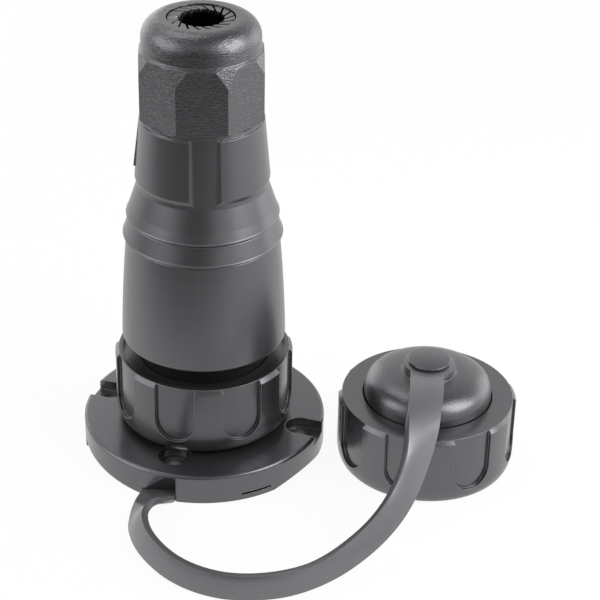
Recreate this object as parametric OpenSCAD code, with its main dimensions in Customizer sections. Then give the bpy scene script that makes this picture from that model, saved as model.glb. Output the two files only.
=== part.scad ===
// Waterproof multi-pin connector: deck socket, cable plug and a cap on a moulded strap.
// Origin: centre of the flange's underside, +Z up. The two screw holes lie on the Y axis.

/* [Flange] */
// Diameter of the round deck flange
flange_d = 60; // [58:1:70]
// Thickness of the flange
flange_h = 7.5; // [7:0.5:10]
// Radius of the flange's upper edge
flange_round = 0.8; // [0.4:0.1:2]
// Distance between the two screw holes
screw_spacing = 43.6; // [42:0.2:46]
// Diameter of a screw hole
screw_d = 5; // [4:0.1:5.4]
// Diameter of the screw head's recess
screw_head_d = 8; // [7:0.1:9]
// Depth of the screw head's recess
screw_head_h = 2.5; // [1:0.1:3]
// Width of the two recesses that run out through the rim
slot_w = 7; // [6:0.1:9]
// Distance from the axis to the inner end of a recess
slot_end = 21.4; // [20.5:0.1:24]
// Depth of a recess
slot_step_h = 2.7; // [1:0.1:4]
// Width of the ledge round the hole in a recess
slot_ledge = 0.8; // [0.4:0.1:1.2]

/* [Socket] */
// Outside diameter of the threaded barrel
barrel_d = 36; // [35:0.1:36.2]
// Wall of the barrel
barrel_wall = 3.9; // [3.4:0.1:4.2]
// Number of contacts
contact_count = 5; // [3:1:6]
// Diameter of the circle on which the contacts stand
contact_circle = 13; // [12:0.1:14]
// Diameter of a pin
pin_d = 3; // [2:0.1:3.2]
// Length of a pin above its insulator
pin_reach = 10.5; // [7:0.1:11]
// Radius of the insulator disc
insert_r = 11.7; // [11:0.1:12]
// Thickness of the insulator disc
insert_h = 4.6; // [3.6:0.1:4.8]
// Thickness of the web that stops the insulator
stop_h = 1.2; // [0.8:0.1:1.5]
// Height of the flat gasket in the flange's underside
gasket_h = 1.4; // [0.8:0.1:2]

/* [Coupling ring] */
// Wall of a ring, from its thread to the top of the ribs
ring_wall = 3.4; // [2.9:0.05:4.5]
// Depth of the scallops between the ribs
scallop_depth = 0.85; // [0.4:0.05:1]
// Width of a scallop
scallop_w = 10; // [6:0.2:12]
// Number of scallops
scallop_count = 8; // [6:1:10]
// Height of the scallop's round lower end above the ring's foot
scallop_low = 3; // [2:0.1:6]
// Height of a ring
ring_h = 17.8; // [16:0.1:20]
// Thickness of the web at the top of a ring
web_h = 2.5; // [1.5:0.1:3]
// Width of the web, inward from the thread
web_w = 2.5; // [1.6:0.1:2.8]
// Chamfer at the top of the ribs
rib_chamfer = 1; // [0.4:0.1:1.2]
// How far the ring draws in at its foot
foot_draw = 1.45; // [0.5:0.05:1.6]
// Gap between the flange and the ring's foot
ring_clear = 1; // [0.5:0.1:3]
// Thickness of the washer below the web
washer_h = 1; // [0.5:0.1:1.5]
// Thickness of the flat seals
seal_h = 1; // [0.6:0.1:1.5]

/* [Plug] */
// Gap between the ring's top and the plug body, which lets the ring rise
neck_gap = 4; // [3.8:0.1:6]
// Wall of the plug body at its foot
foot_wall = 5.3; // [4.2:0.1:6.5]
// Height of the plug body from its foot to its shoulder under the nut
body_h = 58.4; // [56:0.2:64]
// Radius of the body at its shoulder
shoulder_r = 14.1; // [13.9:0.1:15]
// Wall of the plug body above its foot
body_wall = 2.7; // [2:0.1:3.2]
// How far the lower lip stands out
lip_out = 0.75; // [0.3:0.05:1.2]
// Height of the raised panels
panel_h = 0.45; // [0.2:0.05:0.8]
// Width of the channel between the panels
channel_w = 5.6; // [3:0.1:9]
// Turn of the plug about its axis
plug_turn = -68; // [-180:1:180]
// Wall of the sleeve that enters the barrel
sleeve_wall = 1.6; // [1.2:0.1:2]
// Thickness of the front shell's flange
nose_flange_h = 2; // [1.5:0.1:3]
// Length of the front shell inside the body
nose_tail = 8; // [7:0.1:10]
// Width of the polarising key
key_w = 3; // [2:0.1:5]

/* [Gland] */
// Width of the nut across its flats
nut_flats = 28.3; // [28:0.1:32]
// Number of flats
nut_sides = 8; // [6:2:10]
// Height of the nut
nut_h = 23.3; // [22.5:0.1:26]
// Turn of the nut about its axis
nut_turn = 20; // [0:1:45]
// Radius of the nut's mouth
mouth_r = 7.9; // [7:0.1:8.2]
// Outside radius of the spigot's thread
spigot_r = 11.4; // [11:0.1:11.8]
// Height of the spigot above the body's shoulder
spigot_h = 9; // [8:0.1:10]
// Outside radius of the rubber seal
seal_r = 8.5; // [7.5:0.1:8.8]
// Radius of the cable opening
cable_r = 5; // [3:0.1:5.5]
// Number of clamping fingers
finger_count = 18; // [10:1:20]
// Slant of the cuts between the fingers
finger_slant = 18; // [0:1:22]

/* [Cap] */
// Gap between the flange and the cap's ring, along X
cap_gap = 2.95; // [2.4:0.05:10]
// Cap axis, distance behind the flange's axis
cap_y = 9.3; // [6:0.1:12]
// Height of the dome above its ring
dome_h = 6.9; // [6:0.1:10]
// Wall of the dome
dome_wall = 2.2; // [1.5:0.1:3]
// Radius of the button's head
button_r = 5.1; // [4:0.1:6.2]
// Height of the button's head
button_h = 0.9; // [0.7:0.1:2]

/* [Strap] */
// Width of the strap where it meets its eyes
strap_w = 8.1; // [7:0.1:9]
// Width of the strap along its run
strap_run_w = 6; // [4:0.1:7]
// Thickness of the strap
strap_t = 1.7; // [1.2:0.1:2]
// Outside radius of the eye under the flange
anchor_r = 5.7; // [5.2:0.1:6]
// Wall of the boss that stands in this eye, round the front screw hole
boss_wall = 1; // [0.8:0.1:1.2]
// Turn of the strap's way out, to the left of the screw hole
exit_turn = 8; // [0:1:15]
// Outside radius of the eye on the cap
eye_r = 6.2; // [5.8:0.1:7.5]
// How much thicker an eye is than the strap
eye_bead = 0.1; // [0.1:0.1:0.6]

/* [Fits] */
// Gap between pieces that turn or slide on each other
run_gap = 0.3; // [0.2:0.05:0.4]
// Gap round pieces that are pushed together and stay
push_gap = 0.1; // [0.05:0.05:0.2]

/* [Hidden] */
$fn = 96;
// Overrun of a cut past the face that it opens
over = 1;

// Flange and barrel
flange_r = flange_d / 2;
screw_r = screw_spacing / 2;
slot_in_w = slot_w - 2 * slot_ledge;
rim_deep = 2;
barrel_r = barrel_d / 2;
bore_r = barrel_r - barrel_wall;
contact_r = contact_circle / 2;
pin_r = pin_d / 2;

// Heights of the coupling, from the flange upwards
ring_z = flange_h + ring_clear;
ring_top = ring_z + ring_h;
web_z = ring_top - web_h;
washer_z = web_z - washer_h;
nose_flange_z = washer_z - nose_flange_h;
face_seal_z = nose_flange_z - seal_h;
barrel_top = face_seal_z;
body_z = ring_top + neck_gap;

// Insulator of the socket, pushed up from behind against its web
insert_top = flange_h - 0.5;
insert_z = insert_top - insert_h;
retainer_h = 1;
retainer_z = insert_z - retainer_h;
retainer_grip = 0.7;
stop_r = insert_r - 1.2;
collar_out = 0.8;
cup_h = 1.2;
gasket_in = insert_r + push_gap + retainer_grip + 0.8;
gasket_w = 1.9;

// Rings
thread_r = barrel_r + run_gap + push_gap;
grip_r = thread_r + ring_wall;
scallop_r = grip_r - scallop_depth;
web_r = thread_r - web_w;
foot_r = grip_r - foot_draw;
foot_rise = 4;
under_web_r = thread_r - run_gap;
rim_wall = 1;
well_h = web_h / 2;

// Front shell of the plug and what it holds
sleeve_r = bore_r - run_gap;
neck_r = web_r - run_gap;
tail_r = neck_r - 1.1;
nose_gap = 1.3;
nose_z = insert_top + stop_h + nose_gap;
nose_top = body_z + nose_tail;
plug_insert_r = sleeve_r - sleeve_wall - push_gap;
plug_insert_lip = 0.9;
plug_insert_lip_h = 2;
plug_insert_lip_z = nose_top - 5;
clip_h = 1;
clip_z = plug_insert_lip_z + plug_insert_lip_h;
terminal_top = nose_top + 6;
terminal_screw_z = terminal_top - 4;
terminal_r = plug_insert_r - 0.5;
terminal_screw_r = 1.2;
contact_out_r = pin_r + 0.9;
contact_z = nose_z + 1;
contact_top = terminal_top - 1;
key_out = 1;
ring_cord = 0.9;
o_ring_z = body_z + 2;

// Plug body: heights of its lips and panels as it narrows to the shoulder
body_top = body_z + body_h;
body_r = tail_r + push_gap + foot_wall;
low_lip_z = body_z + 28.2;
high_lip_z = body_z + 33.4;
panel_z = body_z + 42.2;
panel_gap = 1.1;
lip_edge = 0.3;
lip_groove = 0.3;
lip_round = 0.5;
under_lip_r = body_r - 1.6;
low_lip_r = under_lip_r + lip_out;
high_lip_r = low_lip_r - 0.9;
cone_r = high_lip_r - 1;
cone_z = high_lip_z + 2.6;
panel_foot_r = cone_r - 1.65;
bulge = 0.22;

// Gland
spigot_top = body_top + spigot_h;
seal_z = body_top - 2;
nut_z = body_top + run_gap;
nut_top = nut_z + nut_h;
nut_bore_r = spigot_r + run_gap;
nut_neck_r = nut_flats / 2 - 0.45;
nut_crown = 4.5;
corner_r = nut_flats / 2 / cos(180 / nut_sides);
corner_lean = 15.5;
facet_top = nut_top - 7.3;
corner_z = facet_top - (corner_r - nut_flats / 2) / tan(corner_lean);
nut_neck_z = facet_top + nut_flats / 2 - nut_neck_r;
mouth_z = nut_top - 1.3;
cage_z = spigot_top;
cage_base_h = 2.2;
cage_top = nut_top - 0.3;
cage_r = spigot_r - 0.5;
finger_hole = cable_r + 0.3;
finger_lip = 1;
slit_w = 0.5;

// Cap, standing beside the flange
cap_x = flange_r + cap_gap + grip_r;
cap_web_z = ring_h - web_h;
dome_flange_h = 2;
dome_flange_z = cap_web_z - dome_flange_h;
dome_r = web_r - run_gap;
dome_top = ring_h + dome_h;
dome_full = 3.3;
land_rise = 0.1;
land_r = eye_r + 0.3;
eye_gap = 2 * push_gap;
eye_z = dome_top + eye_gap;
eye_h = strap_t + eye_bead;
stem_r = 2.5;
stem_down = 4.5;
button_lift = 0.5;
button_z = eye_z + eye_h + button_lift;

// Strap: its middle line from the eye under the flange to the eye on the cap, as x, y, z, bank and spread.
// A bank of 0 lies flat, and 90 stands on edge with the side nearer the flange on top.
// A spread of 0 has the width of the run, and 1 the width at the eyes.
anchor_lift = 0.1;
anchor_z = anchor_lift + (strap_t + eye_bead) / 2;
boss_r = screw_d / 2 + boss_wall;
anchor_hole = boss_r + 0.2;
eye_mid = eye_z + eye_h / 2;
pocket_h = anchor_lift + strap_t + eye_bead + push_gap;
strap_route = [
    [-0.4, -screw_r - 3.3, anchor_z, 0, 1],
    [-0.9, -flange_r + 0.6, anchor_z, 0, 1],
    [-1.3, -flange_r - 3.6, 2, 15, 0.85],
    [-1.5, -flange_r - 8.8, 3.1, 42, 0.5],
    [-0.5, -flange_r - 14.5, 3.6, 59, 0.2],
    [2.8, -49.8, 3.5, 68, 0.05],
    [7.7, -54.2, 3.3, 73, 0],
    [13.3, -57.5, 3.2, 77, 0],
    [19.6, -59.4, 3.2, 80, 0],
    [26.2, -59.6, 3.2, 81, 0],
    [32.6, -57.9, 3.2, 81, 0],
    [38.5, -54.7, 3.2, 80, 0],
    [43.4, -50.7, 3.5, 83, 0],
    [47.6, -46.4, 4.6, 77, 0],
    [51.3, -42, 6.5, 69, 0],
    [54.6, -37.5, 9, 62, 0],
    [cap_x + 2.4, cap_y - grip_r - 20.4, 12, 59, 0.1],
    [cap_x + 4, cap_y - grip_r - 15.6, ring_h - 2.6, 59, 0.3],
    [cap_x + 4.6, cap_y - grip_r - 10.7, ring_h + 0.4, 57, 0.6],
    [cap_x + 4.5, cap_y - grip_r - 5.8, eye_mid - 4.9, 47, 0.9],
    [cap_x + 4, cap_y - grip_r - 0.8, eye_mid - 2.6, 32, 1],
    [cap_x + 3.1, cap_y - 17.4, eye_mid - 0.9, 16, 1],
    [cap_x + 2.3, cap_y - 12, eye_mid - 0.1, 4, 1],
    [cap_x + 1.2, cap_y - 7, eye_mid, 0, 1],
    [cap_x + 0.6, cap_y - stem_r - 1.7, eye_mid, 0, 1]
];
strap_steps = 3;
strap_edge = 0.35;

// Colours
anthracite = [0.2, 0.2, 0.22];
black_rubber = [0.05, 0.05, 0.05];
dark_insulator = [0.12, 0.12, 0.13];
brass = [0.8, 0.65, 0.3];
steel = [0.7, 0.7, 0.72];
nylon = [0.85, 0.84, 0.8];

// A flat ring that stands on z
module flat_ring(outer, inner, z, h) {
    translate([0, 0, z])
        difference() {
            cylinder(r = outer, h = h);
            translate([0, 0, -over]) cylinder(r = inner, h = h + 2 * over);
        }
}

// A round bore from z upwards
module bore(r, z, h) {
    translate([0, 0, z]) cylinder(r = r, h = h);
}

// Copies at equal turns about the axis
module around(count) {
    for (i = [0 : count - 1]) rotate(i * 360 / count) children();
}

// A disc with a rounded upper edge
module rounded_disc(r, h, edge) {
    rotate_extrude() {
        square([r - edge, h]);
        square([r, h - edge]);
        translate([r - edge, h - edge]) circle(r = edge);
    }
}

// A recess with a round inner end that runs out through the rim, with a hole in its floor
module rim_slot() {
    translate([slot_end + slot_w / 2, 0, flange_h - slot_step_h]) {
        cylinder(d = slot_w, h = flange_h);
        translate([0, -slot_w / 2, 0]) cube([flange_r, slot_w, flange_h]);
        translate([0, 0, -flange_h]) cylinder(d = slot_in_w, h = 2 * flange_h);
    }
}

// Socket: flange with its barrel, screw holes, rim slots and the way out for the strap
module strap_pocket() {
    channel = strap_w + 2 * run_gap;
    translate([0, -screw_r, 0]) {
        flat_ring(anchor_r + run_gap, boss_r, -over, pocket_h + over);
        rotate(-exit_turn)
            translate([-channel / 2, -flange_r, -over]) cube([channel, flange_r - boss_r, pocket_h + over]);
    }
}

// Slanting relief over the strap, deepest at the right-hand step
module strap_relief() {
    relief_h = flange_h - 1;
    depth = 2.6;
    right = strap_w / 2 + run_gap - (flange_r - screw_r) * tan(exit_turn);
    tilt = 20;
    swing = 13;
    intersection() {
        translate([right, -flange_r + depth, pocket_h - over])
            rotate([tilt, 0, 0])
                rotate(swing)
                    translate([-2 * strap_w, -2 * depth, -flange_h])
                        cube([2 * strap_w, 2 * depth, 2 * flange_h]);
        translate([right - 2 * strap_w, -2 * flange_r, -over])
            cube([2 * strap_w, 2 * flange_r, relief_h + over]);
    }
}

// Thin moulded slit low in the rim
module rim_slit() {
    start = -53;
    sweep = 15;
    deep = 1.2;
    slit_h = 0.6;
    slit_z = 1.3;
    rotate(start)
        rotate_extrude(angle = sweep)
            translate([flange_r - deep, slit_z]) square([deep + over, slit_h]);
}

// Sloping relief in the rim's lower edge, which rises from the strap's way out to a step
module rim_ramp() {
    start = -150;
    sweep = 50;
    tilt = 5;
    intersection() {
        rotate(start)
            rotate_extrude(angle = sweep)
                translate([flange_r - rim_deep, -over]) square([rim_deep + over, flange_h]);
        rotate(start + sweep)
            translate([flange_r, 0, 0])
                rotate([-tilt, 0, -sweep / 2])
                    translate([-flange_r, -2 * flange_r, -flange_h])
                        cube([2 * flange_r, 2 * flange_r, flange_h]);
    }
}

// Shallow arch in the rim's lower edge, beside a recess
module rim_arch() {
    half_angle = 18;
    rise = 1.2;
    half = flange_r * sin(half_angle);
    arch_r = (half * half + rise * rise) / (2 * rise);
    rotate(-half_angle)
        translate([flange_r - rim_deep, 0, rise - arch_r])
            rotate([0, 90, 0]) cylinder(r = arch_r, h = rim_deep + over);
}

module socket_flange() {
    color(anthracite)
        difference() {
            union() {
                rounded_disc(flange_r, flange_h, flange_round);
                bore(barrel_r, 0, barrel_top);
            }
            bore(bore_r, insert_top + stop_h, ring_h);
            bore(stop_r, -over, ring_h);
            bore(insert_r + push_gap, -over, insert_top + over);
            bore(insert_r + push_gap + retainer_grip, retainer_z, retainer_h);
            flat_ring(gasket_in + gasket_w, gasket_in, -over, gasket_h + over);
            translate([-key_w / 2 - run_gap, 0, insert_top + stop_h])
                cube([key_w + 2 * run_gap, sleeve_r + key_out + run_gap, ring_h]);
            around(2) {
                translate([0, -screw_r, -over]) cylinder(d = screw_d, h = flange_h + 2 * over);
                translate([0, -screw_r, flange_h - screw_head_h]) cylinder(d = screw_head_d, h = flange_h);
                rim_slot();
                rim_ramp();
                rim_arch();
            }
            strap_pocket();
            strap_relief();
            rim_slit();
        }
}

module base_gasket() {
    color(black_rubber)
        flat_ring(gasket_in + gasket_w - push_gap, gasket_in + push_gap, 0, gasket_h);
}

module socket_insert() {
    color(dark_insulator)
        difference() {
            bore(insert_r, insert_z, insert_h);
            around(contact_count) translate([contact_r, 0, insert_z - over]) {
                cylinder(r = pin_r + push_gap, h = insert_h + 2 * over);
                cylinder(r = pin_r + collar_out + push_gap, h = insert_h / 2 + over);
            }
        }
}

// Pins with a collar inside the insulator and a solder cup behind it
module contact_pins() {
    tip = insert_top + pin_reach;
    color(brass)
        around(contact_count) translate([contact_r, 0, 0])
            difference() {
                union() {
                    bore(pin_r, insert_z - cup_h, tip - pin_r - insert_z + cup_h);
                    translate([0, 0, tip - pin_r]) sphere(r = pin_r);
                    bore(pin_r + collar_out, insert_z, insert_h / 2);
                }
                bore(pin_r * 0.65, insert_z - cup_h - over, 2 * cup_h + over);
            }
}

module insert_retainer() {
    color(steel)
        flat_ring(insert_r + retainer_grip, insert_r - 2, retainer_z, retainer_h);
}

// Strap: a flat section with broken edges, swept along its route
function unit(v) = v / norm(v);
function place(p) = [p[0], p[1], p[2]];
function route_at(i) = strap_route[min(max(i, 0), len(strap_route) - 1)];
function blend_at(i, t) =
    let (a = route_at(i - 1), b = route_at(i), c = route_at(i + 1), d = route_at(i + 2))
    0.5 * (2 * b + (c - a) * t + (2 * a - 5 * b + 4 * c - d) * t * t
        + (3 * b - a - 3 * c + d) * t * t * t);
function strap_line() = [
    for (i = [0 : len(strap_route) - 2]) for (k = [0 : strap_steps - 1]) blend_at(i, k / strap_steps),
    route_at(len(strap_route) - 1)
];
function strap_section(spread) =
    let (x = (strap_run_w + (strap_w - strap_run_w) * spread) / 2, y = strap_t / 2, e = strap_edge)
    [[x - e, y], [x, y - e], [x, e - y], [x - e, -y], [e - x, -y], [-x, e - y], [-x, y - e], [e - x, y]];
function strap_ring(line, i) =
    let (
        last = len(line) - 1,
        along = unit(place(line[min(i + 1, last)]) - place(line[max(i - 1, 0)])),
        side = unit(cross([0, 0, 1], along)),
        face = cross(along, side),
        bank = line[i][3]
    )
    [for (p = strap_section(line[i][4]))
        place(line[i]) + side * (p[0] * cos(bank) - p[1] * sin(bank))
            + face * (p[0] * sin(bank) + p[1] * cos(bank))];

module strap_ribbon() {
    line = strap_line();
    sides = len(strap_section(0));
    rings = len(line);
    points = [for (i = [0 : rings - 1]) each strap_ring(line, i)];
    walls = [for (i = [0 : rings - 2]) for (j = [0 : sides - 1])
        let (a = i * sides + j, b = i * sides + (j + 1) % sides)
        each [[a, b, b + sides], [a, b + sides, a + sides]]];
    ends = [[for (j = [sides - 1 : -1 : 0]) j], [for (j = [0 : sides - 1]) (rings - 1) * sides + j]];
    polyhedron(points = points, faces = concat(walls, ends));
}

module strap() {
    color(anthracite)
        difference() {
            union() {
                strap_ribbon();
                translate([0, -screw_r, 0]) bore(anchor_r, anchor_lift, strap_t + eye_bead);
                translate([cap_x, cap_y, 0]) bore(eye_r, eye_z, eye_h);
            }
            translate([0, -screw_r, 0]) bore(anchor_hole, -over, flange_h);
            translate([cap_x, cap_y, 0]) bore(stem_r + run_gap, eye_z - over, eye_h + 2 * over);
        }
}

// Screw ring: scallops cut through the ribs to a plain wall, with an inward web at the top
function foot_curve(outer, rise) = [for (a = [0 : 15 : 90])
    [foot_r + (outer - foot_r) * sin(a), rise * (1 - cos(a))]];

module scallop() {
    round_r = scallop_w / 2;
    rotate([90, 0, 90])
        linear_extrude(grip_r + over) {
            translate([0, scallop_low + round_r]) circle(r = round_r);
            translate([-round_r, scallop_low + round_r]) square([scallop_w, ring_h]);
        }
}

module grip_ring() {
    lead_in = 0.8;
    difference() {
        union() {
            rotate_extrude()
                polygon(concat([[0, 0]], foot_curve(scallop_r, foot_rise / 2),
                    [[scallop_r, ring_h], [0, ring_h]]));
            difference() {
                rotate_extrude()
                    polygon(concat([[0, 0]], foot_curve(grip_r, foot_rise),
                        [[grip_r, ring_h - rib_chamfer], [grip_r - rib_chamfer, ring_h], [0, ring_h]]));
                around(scallop_count) scallop();
            }
        }
        bore(thread_r, -over, ring_h - web_h + over);
        bore(web_r, -over, ring_h + 2 * over);
        translate([0, 0, -over])
            cylinder(r1 = thread_r + lead_in + over, r2 = thread_r, h = lead_in + over);
    }
}

// The plug's ring has a well in its top, inside a thin rim
module coupling_ring() {
    color(anthracite) translate([0, 0, ring_z])
        difference() {
            grip_ring();
            bore(scallop_r - rim_wall, ring_h - well_h, web_h);
        }
}

module slip_washer() {
    color(nylon) flat_ring(under_web_r, neck_r + run_gap, washer_z, washer_h);
}

module face_seal() {
    color(black_rubber) flat_ring(under_web_r - push_gap, sleeve_r + push_gap, face_seal_z, seal_h);
}

// Front shell: keyed sleeve, flange under the ring's web, neck, and a tail inside the body
module plug_nose() {
    key_h = face_seal_z - run_gap - nose_z;
    color(anthracite)
        difference() {
            union() {
                bore(sleeve_r, nose_z, nose_top - nose_z);
                bore(under_web_r, nose_flange_z, nose_flange_h);
                bore(neck_r, nose_flange_z, body_z - nose_flange_z);
                bore(tail_r, nose_flange_z, nose_top - nose_flange_z);
                translate([-key_w / 2, 0, nose_z]) cube([key_w, sleeve_r + key_out, key_h]);
            }
            bore(plug_insert_r + push_gap, nose_z - over, nose_top);
            bore(plug_insert_r + plug_insert_lip + push_gap, plug_insert_lip_z, nose_top);
            bore(plug_insert_r + plug_insert_lip + push_gap + retainer_grip, clip_z, clip_h);
            flat_ring(tail_r + over, tail_r - ring_cord, o_ring_z - ring_cord, 2 * ring_cord);
        }
}

module plug_insert() {
    color(dark_insulator)
        difference() {
            union() {
                bore(plug_insert_r, nose_z, plug_insert_lip_z - nose_z);
                bore(plug_insert_r + plug_insert_lip, plug_insert_lip_z, plug_insert_lip_h);
                bore(terminal_r, plug_insert_lip_z, terminal_top - plug_insert_lip_z);
            }
            around(contact_count) {
                translate([contact_r, 0, 0]) {
                    bore(pin_r + 2 * push_gap, nose_z - over, contact_z);
                    bore(contact_out_r + push_gap, contact_z, terminal_top);
                }
                translate([contact_r, 0, terminal_screw_z])
                    rotate([0, 90, 0]) cylinder(r = terminal_screw_r + push_gap, h = terminal_r);
            }
        }
}

// Sockets for the pins, with a wire hole and a cross hole for the clamping screw
module contact_sockets() {
    wire_r = pin_r * 0.85;
    wire_h = 7;
    pin_hole_h = pin_reach;
    color(brass)
        around(contact_count) translate([contact_r, 0, 0])
            difference() {
                bore(contact_out_r, contact_z, contact_top - contact_z);
                bore(pin_r + 0.05, contact_z - over, pin_hole_h + over);
                bore(wire_r, contact_top - wire_h, wire_h + over);
                translate([0, 0, terminal_screw_z])
                    rotate([0, 90, 0]) cylinder(r = terminal_screw_r + 0.05, h = contact_out_r + over);
            }
}

module terminal_screws() {
    slot = 0.5;
    reach = terminal_r - contact_r - 0.2;
    start = 0.6;
    color(steel)
        around(contact_count) translate([contact_r, 0, terminal_screw_z])
            rotate([0, 90, 0])
                difference() {
                    translate([0, 0, start]) cylinder(r = terminal_screw_r, h = reach - start);
                    translate([-terminal_screw_r - over, -slot / 2, reach - slot])
                        cube([2 * terminal_screw_r + 2 * over, slot, slot + over]);
                }
}

module nose_clip() {
    color(steel)
        flat_ring(plug_insert_r + plug_insert_lip + retainer_grip, terminal_r + push_gap, clip_z, clip_h);
}

module body_o_ring() {
    color(black_rubber)
        rotate_extrude()
            translate([tail_r - ring_cord / 2 + push_gap / 2, o_ring_z]) circle(r = ring_cord / 2);
}

// Plug body: a barrel under two shingled lips, then a cone with raised panels and the gland's spigot
function barrel_side(foot_z, top_z) = [for (t = [0 : 0.125 : 0.875])
    [body_r + (under_lip_r - body_r) * t + 4 * bulge * t * (1 - t), foot_z + (top_z - foot_z) * t]];
function lip_side(wall_r, lip_r, lip_z) =
    let (wall_top = lip_z - lip_edge - lip_groove)
    [
        for (a = [0 : 22.5 : 90]) [wall_r - lip_round * (1 - cos(a)), wall_top - lip_round * (1 - sin(a))],
        [wall_r - lip_round, lip_z - lip_edge],
        for (a = [-90 : 30 : 60]) [lip_r - lip_edge * (1 - cos(a)), lip_z + lip_edge * sin(a)]
    ];

module body_outside() {
    foot_round = 1.1;
    low_foot = low_lip_z - lip_edge - lip_groove - lip_round;
    collar_r = high_lip_r - 0.5;
    rotate_extrude()
        polygon(concat(
            [[0, body_z], [body_r - foot_round, body_z]],
            [for (a = [-75 : 15 : -15])
                [body_r - foot_round * (1 - cos(a)), body_z + foot_round * (1 + sin(a))]],
            barrel_side(body_z + foot_round, low_foot),
            lip_side(under_lip_r, low_lip_r, low_lip_z),
            lip_side(collar_r, high_lip_r, high_lip_z),
            [[cone_r, cone_z], [panel_foot_r, panel_z - panel_gap], [shoulder_r, body_top], [0, body_top]]
        ));
}

// Raised band with bevelled edges, opened by a channel at the front and one at the back
module grip_panels() {
    top_z = body_top - 0.4;
    bevel = 0.9;
    sink = 1;
    rise = (shoulder_r - panel_foot_r) / (top_z - panel_z);
    difference() {
        rotate_extrude()
            polygon([
                [panel_foot_r - sink, panel_z],
                [panel_foot_r, panel_z],
                [panel_foot_r + panel_h + rise * bevel, panel_z + bevel],
                [shoulder_r + panel_h, top_z - bevel / 2],
                [shoulder_r - panel_h, top_z],
                [shoulder_r - sink, top_z]
            ]);
        around(2) channel_cut(bevel, atan(-rise));
    }
}

// Channel that leans with the cone, its sides sloping up from the floor to the panels' round face
module channel_cut(bevel, lean) {
    floor_w = channel_w / 2;
    rim_w = floor_w + bevel;
    floor_x = -floor_w * floor_w / (2 * panel_foot_r);
    rim_x = panel_h - rim_w * rim_w / (2 * panel_foot_r);
    translate([panel_foot_r, 0, panel_z])
        rotate([0, -lean, 0])
            translate([0, 0, -over])
                linear_extrude(body_h)
                    polygon([[floor_x, -floor_w], [rim_x, -rim_w], [rim_x + over, -rim_w],
                        [rim_x + over, rim_w], [rim_x, rim_w], [floor_x, floor_w]]);
}

module body_inside() {
    fit_r = tail_r + push_gap;
    wide_r = under_lip_r - body_wall;
    cable_hole = cable_r + 1;
    throat_r = shoulder_r - body_wall;
    step = 1;
    rotate_extrude()
        polygon([
            [0, body_z - over], [fit_r, body_z - over], [fit_r, nose_top + step],
            [wide_r, nose_top + step + wide_r - fit_r], [wide_r, low_lip_z - body_wall],
            [panel_foot_r - body_wall, panel_z], [throat_r, seal_z - 1.6 * body_wall],
            [cable_hole, seal_z - 0.6 * body_wall], [cable_hole, seal_z], [seal_r + push_gap, seal_z],
            [seal_r + push_gap, spigot_top + over], [0, spigot_top + over]
        ]);
}

// Index rib that stands out more towards its lower end
module index_rib() {
    rib_w = 1.4;
    rib_out = 0.1;
    rib_z = panel_z + 3.4;
    rib_top = body_top - 1;
    sink = 1;
    rotate([90, 0, 0])
        translate([0, 0, -rib_w / 2])
            linear_extrude(rib_w)
                polygon([[panel_foot_r - sink, rib_z], [panel_foot_r + panel_h + rib_out, rib_z],
                    [shoulder_r + panel_h, rib_top], [shoulder_r - sink, rib_top]]);
}

module plug_body() {
    color(anthracite)
        difference() {
            union() {
                body_outside();
                rotate(plug_turn) grip_panels();
                rotate(plug_turn - 90) index_rib();
                bore(spigot_r, body_top - over, spigot_h + over);
            }
            body_inside();
        }
}

module cable_seal() {
    color(black_rubber) flat_ring(seal_r, cable_r, seal_z, spigot_top - seal_z);
}

// Clamping fingers: a coned ring cut by slanted slits, which the nut's mouth closes on the seal
module clamp_cage() {
    tip_r = mouth_r - run_gap;
    foot_z = cage_z + cage_base_h;
    color(black_rubber)
        difference() {
            rotate_extrude()
                polygon([
                    [seal_r, cage_z], [cage_r, cage_z], [cage_r, foot_z], [tip_r, mouth_z - run_gap],
                    [tip_r, cage_top], [finger_hole, cage_top], [finger_hole, cage_top - finger_lip],
                    [seal_r, foot_z]
                ]);
            around(finger_count)
                translate([0, 0, foot_z])
                    rotate([finger_slant, 0, 0])
                        translate([0, -slit_w / 2, 0]) cube([cage_r + over, slit_w, nut_h]);
        }
}

// Gland nut: flats with cut corners below a rounded dome
module nut_dome() {
    belly_z = nut_top - nut_crown;
    rotate_extrude() {
        square_r = nut_neck_r - nut_crown;
        translate([0, nut_z]) square([nut_neck_r, belly_z - nut_z]);
        translate([0, belly_z]) square([square_r, nut_crown]);
        intersection() {
            translate([square_r, belly_z]) circle(r = nut_crown);
            translate([square_r, belly_z]) square(nut_crown);
        }
    }
}

module nut_flats_block() {
    foot_chamfer = 0.6;
    clear_r = corner_r + over;
    difference() {
        intersection() {
            translate([0, 0, nut_z])
                rotate(180 / nut_sides) cylinder(r = corner_r, h = nut_h, $fn = nut_sides);
            rotate_extrude()
                polygon([[0, nut_z], [corner_r - foot_chamfer, nut_z],
                    [clear_r, nut_z + foot_chamfer + over], [clear_r, nut_neck_z - clear_r + nut_neck_r],
                    [nut_neck_r - over, nut_neck_z + over], [0, nut_neck_z + over]]);
        }
        around(nut_sides)
            rotate(180 / nut_sides)
                translate([corner_r, 0, corner_z])
                    rotate([0, -corner_lean, 0])
                        translate([0, -nut_flats / 2, 0]) cube([nut_flats, nut_flats, nut_h]);
    }
}

module gland_nut() {
    thread_top = cage_z + cage_base_h + run_gap;
    color(anthracite)
        difference() {
            union() {
                nut_dome();
                rotate(nut_turn) nut_flats_block();
            }
            rotate_extrude()
                polygon([[0, nut_z - over], [nut_bore_r, nut_z - over], [nut_bore_r, thread_top],
                    [mouth_r, mouth_z], [mouth_r, nut_top + over], [0, nut_top + over]]);
        }
}

// Cap: its ring, the dome through the ring's web, a seal below and the button that holds the strap
module at_cap() {
    translate([cap_x, cap_y, 0]) children();
}

module cap_ring() {
    color(anthracite) at_cap() grip_ring();
}

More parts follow.
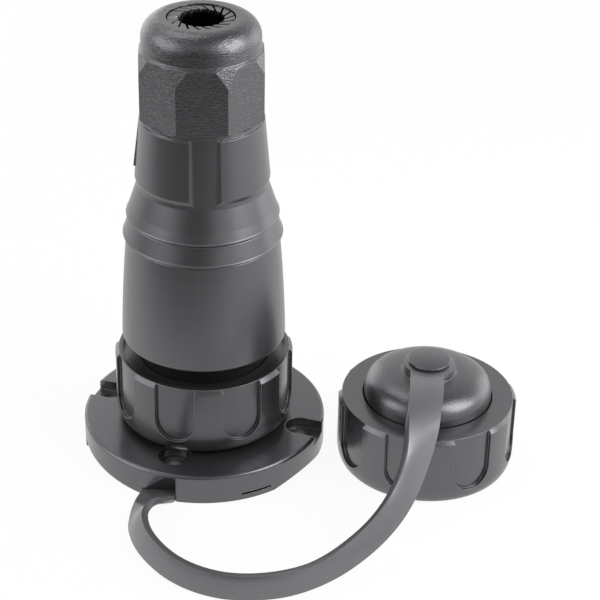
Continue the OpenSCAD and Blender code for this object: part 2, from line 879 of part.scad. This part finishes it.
function dome_curve(r, h, z) = [for (a = [0 : 7.5 : 90])
    [r * pow(cos(a), 2 / dome_full), z + h * pow(sin(a), 2 / dome_full)]];

module cap_dome() {
    color(anthracite) at_cap()
        difference() {
            union() {
                rotate_extrude()
                    polygon(concat([[0, cap_web_z], [dome_r, cap_web_z]],
                        dome_curve(dome_r, dome_h - land_rise, ring_h)));
                bore(land_r, ring_h, dome_h);
                bore(under_web_r, dome_flange_z, dome_flange_h);
            }
            rotate_extrude()
                polygon(concat([[0, dome_flange_z - over], [dome_r - dome_wall, dome_flange_z - over]],
                    dome_curve(dome_r - dome_wall, dome_h - dome_wall - land_rise, ring_h)));
            bore(stem_r + push_gap, ring_h, 2 * dome_h);
        }
}

module cap_seal() {
    color(black_rubber) at_cap()
        flat_ring(under_web_r - push_gap, bore_r, dome_flange_z - seal_h, seal_h);
}

module cap_button() {
    crown = button_h / 2;
    color(anthracite) at_cap()
        union() {
            translate([0, 0, button_z])
                rotate_extrude()
                    polygon(concat([[0, 0], [button_r, 0]], [for (x = [1 : -0.2 : 0.1])
                        [button_r * x, button_h - crown * x * x]], [[0, button_h]]));
            bore(stem_r, dome_top - stem_down, button_z - dome_top + stem_down + crown);
        }
}

socket_flange();
base_gasket();
socket_insert();
contact_pins();
insert_retainer();
strap();
coupling_ring();
slip_washer();
face_seal();
plug_nose();
plug_insert();
contact_sockets();
terminal_screws();
nose_clip();
body_o_ring();
plug_body();
cable_seal();
clamp_cage();
gland_nut();
cap_ring();
cap_dome();
cap_seal();
cap_button();
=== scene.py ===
import math

import bpy
from mathutils import Matrix, Vector


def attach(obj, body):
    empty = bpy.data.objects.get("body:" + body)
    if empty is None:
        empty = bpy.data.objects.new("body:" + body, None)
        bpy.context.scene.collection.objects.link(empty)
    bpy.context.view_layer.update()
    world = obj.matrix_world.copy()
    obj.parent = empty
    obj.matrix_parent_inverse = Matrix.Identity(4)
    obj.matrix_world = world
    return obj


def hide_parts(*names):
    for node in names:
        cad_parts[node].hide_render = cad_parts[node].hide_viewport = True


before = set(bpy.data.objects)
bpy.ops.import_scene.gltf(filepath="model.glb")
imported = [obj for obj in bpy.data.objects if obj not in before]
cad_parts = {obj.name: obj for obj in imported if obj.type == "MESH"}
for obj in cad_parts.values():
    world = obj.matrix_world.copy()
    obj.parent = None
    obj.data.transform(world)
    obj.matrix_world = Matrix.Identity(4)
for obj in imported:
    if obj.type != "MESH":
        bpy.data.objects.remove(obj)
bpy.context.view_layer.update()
bpy.ops.object.select_all(action="DESELECT")


# Deck socket: a round flange with a threaded barrel, moulded in one shot of anthracite polyamide.
# The tool was spark-eroded to a fine satin, and its outer edges are painted paler, as a highlight along them.
plastic_ior = 1.65
cool_sheen = (0.95, 0.945, 1, 1)
colour_drift = 0.14
edge_highlight_lift = 0.2
sheen_spread = 0.07


def new_finish(name):
    """A new material, with its nodes, its link call and its shader."""
    finish = bpy.data.materials.new(name)
    finish.use_nodes = True
    nodes = finish.node_tree.nodes
    return finish, nodes, finish.node_tree.links.new, nodes["Principled BSDF"]


def speckle(nodes, link, place, scale, detail):
    """Random mottling of the given fineness, fixed to the piece."""
    cloud = nodes.new("ShaderNodeTexNoise")
    cloud.inputs["Scale"].default_value = scale
    cloud.inputs["Detail"].default_value = detail
    link(place.outputs["Object"], cloud.inputs["Vector"])
    return cloud


def mottled(nodes, link, cloud, low, high):
    """A colour that wanders between two with the mottling."""
    tone = nodes.new("ShaderNodeMix")
    tone.data_type = "RGBA"
    tone.inputs["A"].default_value = (*low, 1)
    tone.inputs["B"].default_value = (*high, 1)
    link(cloud.outputs["Fac"], tone.inputs["Factor"])
    return tone


def moulded_plastic(name, colour, roughness, grain, depth, edge, gloss=1):
    """Satin moulding: slow drift in the colour, a fine grain, and soft edges painted paler as a highlight."""
    finish, nodes, link, shader = new_finish(name)
    shader.inputs["IOR"].default_value = plastic_ior
    shader.inputs["Specular IOR Level"].default_value = gloss
    shader.inputs["Specular Tint"].default_value = cool_sheen
    place = nodes.new("ShaderNodeTexCoord")

    drift = speckle(nodes, link, place, scale=60, detail=3)
    darker = [(1 - colour_drift) * c for c in colour]
    paler = [(1 + colour_drift) * c for c in colour]
    tone = mottled(nodes, link, drift, darker, paler)

    soft_edge = nodes.new("ShaderNodeBevel")
    soft_edge.samples = 6
    soft_edge.inputs["Radius"].default_value = edge
    surface = nodes.new("ShaderNodeNewGeometry")
    turn = nodes.new("ShaderNodeVectorMath")
    turn.operation = "DOT_PRODUCT"
    link(soft_edge.outputs["Normal"], turn.inputs[0])
    link(surface.outputs["Normal"], turn.inputs[1])
    # Where the bevelled normal turns away from the surface's own, the edge gets a painted highlight.
    edge_highlight_mask = nodes.new("ShaderNodeMapRange")
    edge_highlight_mask.inputs["From Min"].default_value = 0.985
    edge_highlight_mask.inputs["From Max"].default_value = 0.8
    link(turn.outputs["Value"], edge_highlight_mask.inputs["Value"])
    patchy_edge_highlight = nodes.new("ShaderNodeMath")
    patchy_edge_highlight.operation = "MULTIPLY"
    link(edge_highlight_mask.outputs["Result"], patchy_edge_highlight.inputs[0])
    link(drift.outputs["Fac"], patchy_edge_highlight.inputs[1])
    # The paler colour on the edges is a painted highlight, patchy with the drift.
    painted_edge_highlight = nodes.new("ShaderNodeMix")
    painted_edge_highlight.data_type = "RGBA"
    painted_edge_highlight.inputs["B"].default_value = (*[c + edge_highlight_lift for c in colour], 1)
    link(patchy_edge_highlight.outputs["Value"], painted_edge_highlight.inputs["Factor"])
    link(tone.outputs["Result"], painted_edge_highlight.inputs["A"])
    link(painted_edge_highlight.outputs["Result"], shader.inputs["Base Color"])

    texture = speckle(nodes, link, place, scale=1 / grain, detail=2)
    sheen = nodes.new("ShaderNodeMapRange")
    sheen.inputs["To Min"].default_value = roughness - sheen_spread
    sheen.inputs["To Max"].default_value = roughness + sheen_spread
    link(texture.outputs["Fac"], sheen.inputs["Value"])
    link(sheen.outputs["Result"], shader.inputs["Roughness"])

    relief = nodes.new("ShaderNodeBump")
    relief.name = "grain relief"
    relief.inputs["Distance"].default_value = depth
    link(texture.outputs["Fac"], relief.inputs["Height"])
    link(soft_edge.outputs["Normal"], relief.inputs["Normal"])
    link(relief.outputs["Normal"], shader.inputs["Normal"])
    return finish


def dress(node, finish):
    """Gives a CAD node its finish."""
    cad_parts[node].material_slots[0].material = finish


socket_finish = moulded_plastic(
    "socket_plastic", (0.018, 0.0184, 0.0198), roughness=0.23, grain=0.0004, depth=0.00002, edge=0.00028)
dress("socket_flange", socket_finish)


# Threads: the barrel and the spigot carry a low rounded thread, moulded with them.
# The ring and the nut run over it with a little play, so it stays inside their bores.
def round_thread(name, radius, height, pitch, turns, start):
    """A rounded rib wound up the outside of a cylinder, half sunk in its wall, with closed ends."""
    half_width = 0.3 * pitch
    crease = math.radians(40)
    bpy.ops.mesh.primitive_circle_add(vertices=10, radius=1, rotation=(math.pi / 2, 0, 0))
    thread = bpy.context.active_object
    thread.name = name
    bpy.ops.object.transform_apply()
    for v in thread.data.vertices:
        v.co = (radius + height * v.co.x, 0, start + half_width * v.co.z)
    wind = thread.modifiers.new("wind", "SCREW")
    wind.angle = 2 * math.pi
    wind.screw_offset = pitch
    wind.iterations = turns
    wind.steps = 72
    wind.render_steps = 72
    bpy.ops.object.modifier_apply(modifier=wind.name)
    bpy.ops.object.mode_set(mode="EDIT")
    bpy.ops.mesh.select_all(action="DESELECT")
    bpy.ops.mesh.select_non_manifold()
    bpy.ops.mesh.edge_face_add()
    bpy.ops.mesh.select_all(action="SELECT")
    bpy.ops.mesh.normals_make_consistent(inside=False)
    bpy.ops.object.mode_set(mode="OBJECT")
    bpy.ops.object.shade_smooth_by_angle(angle=crease)
    thread.select_set(False)
    return thread


barrel_thread = round_thread(
    "barrel_thread", radius=0.018, height=0.00034, pitch=0.003, turns=3, start=0.0096)
barrel_thread.data.materials.append(socket_finish)
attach(barrel_thread, "deck_socket")


# Seals: flat washers and an O-ring of black nitrile rubber, stamped from sheet or moulded.
# Each is pressed into its seat, dull, with a trace of talc on the surface.
def seal_rubber(name):
    """Dull black rubber with a chalky bloom."""
    finish, nodes, link, shader = new_finish(name)
    shader.inputs["Roughness"].default_value = 0.75
    place = nodes.new("ShaderNodeTexCoord")
    bloom = speckle(nodes, link, place, scale=400, detail=5)
    chalk = mottled(nodes, link, bloom, (0.012, 0.012, 0.012), (0.035, 0.035, 0.034))
    link(chalk.outputs["Result"], shader.inputs["Base Color"])
    skin = nodes.new("ShaderNodeBump")
    skin.inputs["Distance"].default_value = 0.00002
    link(bloom.outputs["Fac"], skin.inputs["Height"])
    link(skin.outputs["Normal"], shader.inputs["Normal"])
    return finish


rubber = seal_rubber("seal_rubber")
for seal in ("base_gasket", "face_seal", "body_o_ring", "cable_seal", "cap_seal"):
    dress(seal, rubber)


# Contacts: turned brass pins stand in a moulded insulator, held from behind by a steel ring.
# The plug has matching sockets, each with a clamping screw for its wire.
insulator = moulded_plastic(
    "insulator", (0.022, 0.022, 0.024), roughness=0.5, grain=0.0003, depth=0.000008, edge=0.0002)
for holder in ("socket_insert", "plug_insert"):
    dress(holder, insulator)

tarnish_shade = 0.8
bright_spots = 0.05
dull_spots = 0.1


def turned_metal(name, colour, roughness, feed):
    """Bare metal with the fine rings that a lathe tool leaves along its axis."""
    finish, nodes, link, shader = new_finish(name)
    shader.inputs["Metallic"].default_value = 1
    place = nodes.new("ShaderNodeTexCoord")
    rings = nodes.new("ShaderNodeTexWave")
    rings.bands_direction = "Z"
    rings.inputs["Scale"].default_value = 1 / feed
    rings.inputs["Distortion"].default_value = 0.6
    link(place.outputs["Object"], rings.inputs["Vector"])
    tarnish = speckle(nodes, link, place, scale=300, detail=2)
    tint = mottled(nodes, link, tarnish, [tarnish_shade * c for c in colour], colour)
    link(tint.outputs["Result"], shader.inputs["Base Color"])
    polish = nodes.new("ShaderNodeMapRange")
    polish.inputs["To Min"].default_value = roughness - bright_spots
    polish.inputs["To Max"].default_value = roughness + dull_spots
    link(tarnish.outputs["Fac"], polish.inputs["Value"])
    link(polish.outputs["Result"], shader.inputs["Roughness"])
    groove = nodes.new("ShaderNodeBump")
    groove.inputs["Distance"].default_value = 0.000004
    link(rings.outputs["Fac"], groove.inputs["Height"])
    link(groove.outputs["Normal"], shader.inputs["Normal"])
    return finish


brass = turned_metal("contact_brass", (0.72, 0.5, 0.2), roughness=0.25, feed=0.0012)
steel = turned_metal("steel", (0.58, 0.58, 0.6), roughness=0.3, feed=0.002)
for contact in ("contact_pins", "contact_sockets"):
    dress(contact, brass)
for fastener in ("insert_retainer", "terminal_screws", "nose_clip"):
    dress(fastener, steel)


# Strap: one flat moulding of flexible plastic that ties the cap to the socket.
# It leaves a pocket under the flange, stands on its edge along the deck, and lies flat over the cap.
strap_thick = 0.0017
strap_run = 0.006
strap_wide = 0.0081
strap_route = [
    # x, y and z in millimetres, bank in degrees, spread from strap_run at 0 to strap_wide at 1
    (-0.4, -25.1, 1, 0, 1), (-0.9, -29.4, 1, 0, 1), (-1.3, -33.6, 2, 15, 0.85),
    (-1.5, -38.8, 3.1, 42, 0.5), (-0.5, -44.5, 3.6, 59, 0.2), (2.8, -49.8, 3.5, 68, 0.05),
    (7.7, -54.2, 3.3, 73, 0), (13.3, -57.5, 3.2, 77, 0), (19.6, -59.4, 3.2, 80, 0),
    (26.2, -59.6, 3.2, 81, 0), (32.6, -57.9, 3.2, 81, 0), (38.5, -54.7, 3.2, 80, 0),
    (43.4, -50.7, 3.5, 83, 0), (47.6, -46.4, 4.6, 77, 0), (51.3, -42, 6.5, 69, 0),
    (54.6, -37.5, 9, 62, 0), (57.15, -32.9, 12, 59, 0.1), (58.75, -28.1, 15.2, 59, 0.3),
    (59.35, -23.2, 18.2, 57, 0.6), (59.25, -18.3, 20.9, 47, 0.9), (58.75, -13.3, 23.2, 32, 1),
    (57.85, -8.1, 24.9, 16, 1), (57.05, -2.7, 25.7, 4, 1), (55.95, 2.3, 25.8, 0, 1),
    (55.35, 5.1, 25.8, 0, 1),
]


def along_route(rows, steps):
    """Points between the rows on one smooth curve, each with its place in metres, its bank and its spread."""
    last = len(rows) - 1
    line = []
    for i in range(last):
        a, b, c, d = (rows[min(max(k, 0), last)] for k in (i - 1, i, i + 1, i + 2))
        for t in (k / steps for k in range(steps)):
            line.append([
                0.5 * (2 * q
                       + (r - p) * t
                       + (2 * p - 5 * q + 4 * r - s) * t ** 2
                       + (3 * q - p - 3 * r + s) * t ** 3)
                for p, q, r, s in zip(a, b, c, d)
            ])
    line.append(rows[-1])
    return [(Vector(row[:3]) / 1000, math.radians(row[3]), row[4]) for row in line]


strap_line = along_route(strap_route, steps=6)
strap_end = len(strap_line) - 1
bpy.ops.mesh.primitive_grid_add(x_subdivisions=strap_end, y_subdivisions=1, size=1)
strap = bpy.context.active_object
strap.name = "strap_band"
for v in strap.data.vertices:
    row = round((v.co.x + 0.5) * strap_end)
    point, bank, spread = strap_line[row]
    heading = strap_line[min(row + 1, strap_end)][0] - strap_line[max(row - 1, 0)][0]
    across = Vector((0, 0, 1)).cross(heading).normalized()
    upright = heading.normalized().cross(across)
    half = (strap_run + (strap_wide - strap_run) * spread) / 2
    v.co = point + (across * math.cos(bank) + upright * math.sin(bank)) * math.copysign(half, v.co.y)
wall = strap.modifiers.new("wall", "SOLIDIFY")
wall.thickness = strap_thick
wall.offset = 0
wall.use_even_offset = True
bpy.ops.object.modifier_apply(modifier=wall.name)

cut_margin = 0.001
eyes = [
    # centre, outer radius, hole radius, underside, thickness
    (Vector((0, -0.0218)), 0.0057, 0.0037, 0.0001, 0.0018),
    (Vector((0.05475, 0.0093)), 0.0062, 0.0028, 0.0249, 0.0018),
]


def boss_or_hole(piece, operation, radius, centre, low, high):
    """Adds a round boss to the piece, or cuts a round hole in it."""
    bpy.ops.mesh.primitive_cylinder_add(
        vertices=96, radius=radius, depth=high - low, location=(*centre, (low + high) / 2))
    tool = bpy.context.active_object
    bpy.context.view_layer.objects.active = piece
    cut = piece.modifiers.new("eye", "BOOLEAN")
    cut.operation = operation
    cut.solver = "EXACT"
    cut.object = tool
    bpy.ops.object.modifier_apply(modifier=cut.name)
    bpy.data.objects.remove(tool)


for centre, outer, hole, low, thick in eyes:
    boss_or_hole(strap, "UNION", outer, centre, low, low + thick)
    boss_or_hole(strap, "DIFFERENCE", hole, centre, low - cut_margin, low + thick + cut_margin)
bpy.ops.object.select_all(action="DESELECT")
strap.select_set(True)
round_over = strap.modifiers.new("round over", "BEVEL")
round_over.width = 0.0003
round_over.segments = 2
round_over.limit_method = "ANGLE"
round_over.angle_limit = math.radians(50)
bpy.ops.object.modifier_apply(modifier=round_over.name)
bpy.ops.object.shade_smooth_by_angle(angle=math.radians(30))
strap.select_set(False)
strap.data.materials.append(moulded_plastic(
    "strap_plastic", (0.078, 0.0785, 0.0825), roughness=0.22, grain=0.0006, depth=0.000006, edge=0))
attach(strap, "deck_socket")
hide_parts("strap")


# Coupling ring: the hand-turned screw ring of the plug, with scallops for the fingers.
# It is moulded in the same satin polyamide, and a nylon washer lets it turn under load.
ring_finish = moulded_plastic(
    "ring_plastic", (0.018, 0.0184, 0.0196),
    roughness=0.23, grain=0.0004, depth=0.00002, edge=0.00028, gloss=0.8)
dress("coupling_ring", ring_finish)
nylon = moulded_plastic("nylon", (0.68, 0.66, 0.6), roughness=0.45, grain=0.0005, depth=0.000006, edge=0.0002)
dress("slip_washer", nylon)


# Plug: the front shell enters the barrel, and the body screwed over its tail covers the wires.
# Both are smooth mouldings; the shell is dull and painted near-black, as the deep shade in the gap under the
# body, and the body is in a softer satin than the ring.
# The shell's near-black colour is painted shade for the gap under the body.
shaded_nose_finish = moulded_plastic(
    "nose_painted_shade", (0.005, 0.005, 0.0053),
    roughness=0.6, grain=0.0004, depth=0.00001, edge=0.0003, gloss=0.2)
dress("plug_nose", shaded_nose_finish)
body_finish = moulded_plastic(
    "body_plastic", (0.024, 0.0244, 0.0258), roughness=0.31, grain=0.0005, depth=0.000006, edge=0.0003)
dress("plug_body", body_finish)
spigot_thread = round_thread(
    "spigot_thread", radius=0.0114, height=0.00024, pitch=0.002, turns=4, start=0.0894)
spigot_thread.data.materials.append(body_finish)
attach(spigot_thread, "plug")


# Clamp: a black ring of sprung fingers round the cable, moulded in one piece with slanting slits.
# It rests on the rubber seal, and the nut's mouth presses its fingers inwards as it is screwed down.
# Below the rim its bore is painted black, as the shade deep inside it, and it is polished where cables rub on
# it.
cage_finish = moulded_plastic(
    "cage_plastic", (0.012, 0.012, 0.0125), roughness=0.3, grain=0.0003, depth=0.000008, edge=0.0002)
cage_nodes = cage_finish.node_tree.nodes
cage_link = cage_finish.node_tree.links.new
cage_shader = cage_nodes["Principled BSDF"]
cage_place = cage_nodes.new("ShaderNodeTexCoord")
cage_height = cage_nodes.new("ShaderNodeSeparateXYZ")
cage_link(cage_place.outputs["Object"], cage_height.inputs["Vector"])
rim = cage_nodes.new("ShaderNodeMapRange")
rim.inputs["From Min"].default_value = 0.1108
rim.inputs["From Max"].default_value = 0.1117
cage_link(cage_height.outputs["Z"], rim.inputs["Value"])
# Below the rim the colour is painted black, as shade deep in the bore.
painted_bore_shade = cage_nodes.new("ShaderNodeMix")
painted_bore_shade.data_type = "RGBA"
painted_bore_shade.inputs["A"].default_value = (0.002, 0.002, 0.002, 1)
cage_link(rim.outputs["Result"], painted_bore_shade.inputs["Factor"])
cage_link(cage_shader.inputs["Base Color"].links[0].from_socket, painted_bore_shade.inputs["B"])
cage_link(painted_bore_shade.outputs["Result"], cage_shader.inputs["Base Color"])
polished = cage_nodes.new("ShaderNodeMix")
polished.inputs["A"].default_value = 0.12
cage_link(rim.outputs["Result"], polished.inputs["Factor"])
cage_link(cage_shader.inputs["Roughness"].links[0].from_socket, polished.inputs["B"])
cage_link(polished.outputs["Result"], cage_shader.inputs["Roughness"])
dress("clamp_cage", cage_finish)


# Gland nut: eight flats under a domed mouth, moulded with a coarse leather grain for grip.
# The grain is drawn out sideways, so on the flats it shows as fine level creases.
nut_finish = moulded_plastic(
    "nut_plastic", (0.012, 0.0124, 0.0134), roughness=0.29, grain=0.0003, depth=0.00001, edge=0.00025)
nut_nodes = nut_finish.node_tree.nodes
nut_link = nut_finish.node_tree.links.new
nut_place = nut_nodes.new("ShaderNodeTexCoord")
nut_stretch = nut_nodes.new("ShaderNodeMapping")
nut_stretch.inputs["Scale"].default_value = (1, 1, 5)
nut_link(nut_place.outputs["Object"], nut_stretch.inputs["Vector"])
leather = nut_nodes.new("ShaderNodeTexNoise")
leather.inputs["Scale"].default_value = 700
leather.inputs["Detail"].default_value = 1
leather.inputs["Distortion"].default_value = 0.8
nut_link(nut_stretch.outputs["Vector"], leather.inputs["Vector"])
creases = nut_nodes.new("ShaderNodeBump")
creases.inputs["Distance"].default_value = 0.0001
nut_link(leather.outputs["Fac"], creases.inputs["Height"])
nut_link(nut_nodes["grain relief"].outputs["Normal"], creases.inputs["Normal"])
nut_link(creases.outputs["Normal"], nut_nodes["Principled BSDF"].inputs["Normal"])
dress("gland_nut", nut_finish)


# Cap: a screw ring like the plug's, round a domed cover that a button ties to the strap's eye.
# The dome has a sandblasted grain that sparkles where the light glances off it.
cap_ring_finish = moulded_plastic(
    "cap_ring_plastic", (0.02, 0.0204, 0.0218), roughness=0.23, grain=0.0004, depth=0.00002, edge=0.00028)
dress("cap_ring", cap_ring_finish)
dome_finish = moulded_plastic(
    "dome_plastic", (0.019, 0.0194, 0.0208), roughness=0.27, grain=0.00026, depth=0.00003, edge=0.0014)
dress("cap_dome", dome_finish)
button_finish = moulded_plastic(
    "button_plastic", (0.019, 0.0194, 0.0208), roughness=0.26, grain=0.00026, depth=0.00003, edge=0.0003)
dress("cap_button", button_finish)


# Studio: a pale table in a white surround, with a large softbox on the left and a nearer one on the right.
# Two low panels stand behind the object and one softbox hangs above it.
# The side on which the camera stands is left dark: mirrored in the plastic, it gives the forms their depth.
def seen_directly(nodes, link, ray):
    """1 on what the camera sees straight or through something clear, and 0 on what is mirrored or lights."""
    seen = nodes.new("ShaderNodeMath")
    seen.operation = "MAXIMUM"
    link(ray.outputs["Is Camera Ray"], seen.inputs[0])
    link(ray.outputs["Is Transmission Ray"], seen.inputs[1])
    return seen.outputs["Value"]


def darker_towards(nodes, link, where, way, start, end, darkest):
    """A brightness that falls from 1 to the darkest value, the further a place or direction goes one way."""
    along = nodes.new("ShaderNodeVectorMath")
    along.operation = "DOT_PRODUCT"
    along.inputs[1].default_value = way
    link(where, along.inputs[0])
    falloff = nodes.new("ShaderNodeMapRange")
    falloff.interpolation_type = "SMOOTHSTEP"
    falloff.inputs["From Min"].default_value = start
    falloff.inputs["From Max"].default_value = end
    falloff.inputs["To Min"].default_value = 1
    falloff.inputs["To Max"].default_value = darkest
    link(along.outputs["Value"], falloff.inputs["Value"])
    return falloff.outputs["Result"]


bpy.ops.mesh.primitive_plane_add(size=6)
table = bpy.context.active_object
table.name = "table"
table.select_set(False)
table_front = Vector((-0.12, -0.99, 0))
paper, paper_nodes, paper_link, paper_shader = new_finish("table_paper")
paper_shader.inputs["Base Color"].default_value = (0.82, 0.82, 0.82, 1)
paper_shader.inputs["Roughness"].default_value = 0.9
paper_ray = paper_nodes.new("ShaderNodeLightPath")
bleached = paper_nodes.new("ShaderNodeMath")
bleached.operation = "MULTIPLY"
bleached.inputs[1].default_value = 0.93
paper_link(seen_directly(paper_nodes, paper_link, paper_ray), bleached.inputs[0])
white = paper_nodes.new("ShaderNodeMath")
white.operation = "MAXIMUM"
paper_link(bleached.outputs["Value"], white.inputs[0])
paper_link(paper_ray.outputs["Is Glossy Ray"], white.inputs[1])
paper_place = paper_nodes.new("ShaderNodeTexCoord")
paper_mirrored = darker_towards(
    paper_nodes, paper_link, paper_place.outputs["Object"], table_front, start=0.03, end=0.2, darkest=0.15)
brightness = paper_nodes.new("ShaderNodeMix")
brightness.inputs["A"].default_value = 1
paper_link(paper_ray.outputs["Is Glossy Ray"], brightness.inputs["Factor"])
paper_link(paper_mirrored, brightness.inputs["B"])
glow = paper_nodes.new("ShaderNodeEmission")
paper_link(brightness.outputs["Result"], glow.inputs["Strength"])
mixed = paper_nodes.new("ShaderNodeMixShader")
paper_link(white.outputs["Value"], mixed.inputs["Fac"])
paper_link(paper_shader.outputs["BSDF"], mixed.inputs[1])
paper_link(glow.outputs["Emission"], mixed.inputs[2])
paper_link(mixed.outputs["Shader"], paper_nodes["Material Output"].inputs["Surface"])
table.data.materials.append(paper)

dark_side = Vector((0.17, -0.985, 0))
surround = bpy.data.worlds.new("surround")
bpy.context.scene.world = surround
surround.use_nodes = True
sky_nodes = surround.node_tree.nodes
sky_link = surround.node_tree.links.new
sky_ray = sky_nodes.new("ShaderNodeLightPath")
sky_way = sky_nodes.new("ShaderNodeTexCoord")
sky_height = sky_nodes.new("ShaderNodeSeparateXYZ")
sky_link(sky_way.outputs["Generated"], sky_height.inputs["Vector"])
sky_sides = darker_towards(
    sky_nodes, sky_link, sky_way.outputs["Generated"], dark_side, start=0.75, end=1, darkest=0.04)
overhead = sky_nodes.new("ShaderNodeMapRange")
overhead.inputs["From Min"].default_value = 0.45
overhead.inputs["From Max"].default_value = 0.95
overhead.inputs["To Min"].default_value = 1
overhead.inputs["To Max"].default_value = 0.25
sky_link(sky_height.outputs["Z"], overhead.inputs["Value"])
sky_mirrored = sky_nodes.new("ShaderNodeMath")
sky_mirrored.operation = "MULTIPLY"
sky_link(sky_sides, sky_mirrored.inputs[0])
sky_link(overhead.outputs["Result"], sky_mirrored.inputs[1])
level = sky_nodes.new("ShaderNodeMix")
level.inputs["B"].default_value = 1
sky_link(seen_directly(sky_nodes, sky_link, sky_ray), level.inputs["Factor"])
sky_link(sky_mirrored.outputs["Value"], level.inputs["A"])
sky_link(level.outputs["Result"], sky_nodes["Background"].inputs["Strength"])
sky_nodes["Background"].inputs["Color"].default_value = (1, 1, 1, 1)

middle = Vector((0.02, -0.01, 0.05))
softboxes = [
    # name, place, width, height, watts
    ("left_softbox", Vector((-0.445, -0.28, 0.34)), 0.5, 0.42, 1.1),
    ("right_softbox", Vector((0.22, -0.015, 0.2)), 0.18, 0.22, 0.53),
    ("right_panel", Vector((0.28, 0.3, 0.1)), 0.3, 0.3, 0.35),
    ("left_panel", Vector((-0.29, 0.26, 0.1)), 0.3, 0.3, 0.25),
    ("top_softbox", Vector((-0.2, 0.13, 0.58)), 0.35, 0.3, 0.5),
]
for name, spot, width, height, watts in softboxes:
    lamp = bpy.data.lights.new(name, "AREA")
    lamp.shape = "RECTANGLE"
    lamp.size = width
    lamp.size_y = height
    lamp.energy = watts
    stand = bpy.data.objects.new(name, lamp)
    stand.location = spot
    stand.visible_camera = False
    stand.rotation_mode = "QUATERNION"
    stand.rotation_quaternion = (middle - spot).to_track_quat("-Z", "Y")
    bpy.context.scene.collection.objects.link(stand)

camera_place = Vector((0.13417, -0.36864, 0.27))
camera_right = Vector((0.9551, 0.2956, 0.0182)).normalized()
camera_up = Vector((-0.165, 0.4801, 0.8615))
camera_up = (camera_up - camera_right * camera_up.dot(camera_right)).normalized()
camera_turn = Matrix((camera_right, camera_up, camera_right.cross(camera_up))).transposed()
lens = bpy.data.cameras.new("camera")
lens.lens = 112.33
lens.sensor_width = 36
lens.clip_start = 0.01
camera = bpy.data.objects.new("camera", lens)
camera.matrix_world = Matrix.Translation(camera_place) @ camera_turn.to_4x4()
bpy.context.scene.collection.objects.link(camera)
bpy.context.scene.camera = camera
bpy.context.scene.view_settings.view_transform = "Standard"
